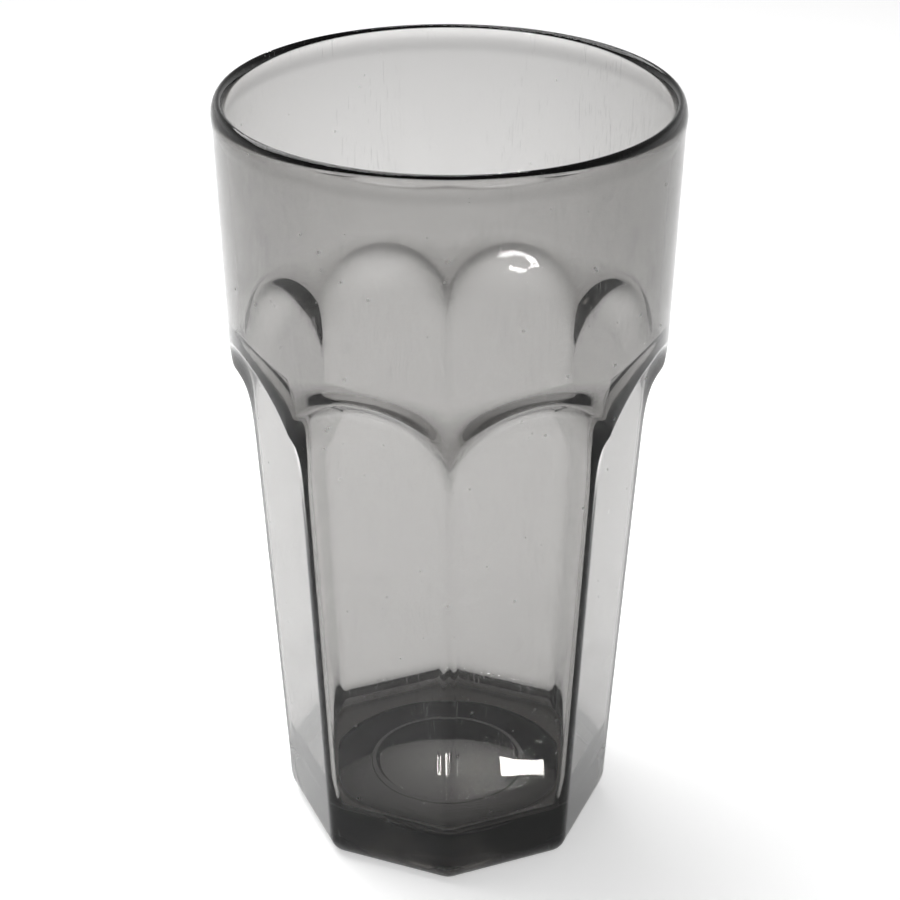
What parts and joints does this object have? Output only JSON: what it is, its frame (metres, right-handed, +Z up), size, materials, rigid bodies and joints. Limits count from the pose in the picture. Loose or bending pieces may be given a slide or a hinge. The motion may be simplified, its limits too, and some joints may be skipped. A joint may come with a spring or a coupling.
{
  "type": "tumbler",
  "caption": "Tall clear tumbler with a round upper wall, arched flat panels sunk into its lower body and a thick foot.",
  "frame": {"origin": "centre of the plane the tumbler stands on", "axes": "+Z up through the mouth along the axis, a corner of the eight-sided lower body along -Y"},
  "size_m": [0.088, 0.088, 0.156],
  "materials": {
    "smoke_clear": "clear smoke-grey moulding, polished, with fine scuffs"
  },
  "bodies": {
    "root": {"tumbler_body": "smoke_clear"}
  },
  "joints": []
}
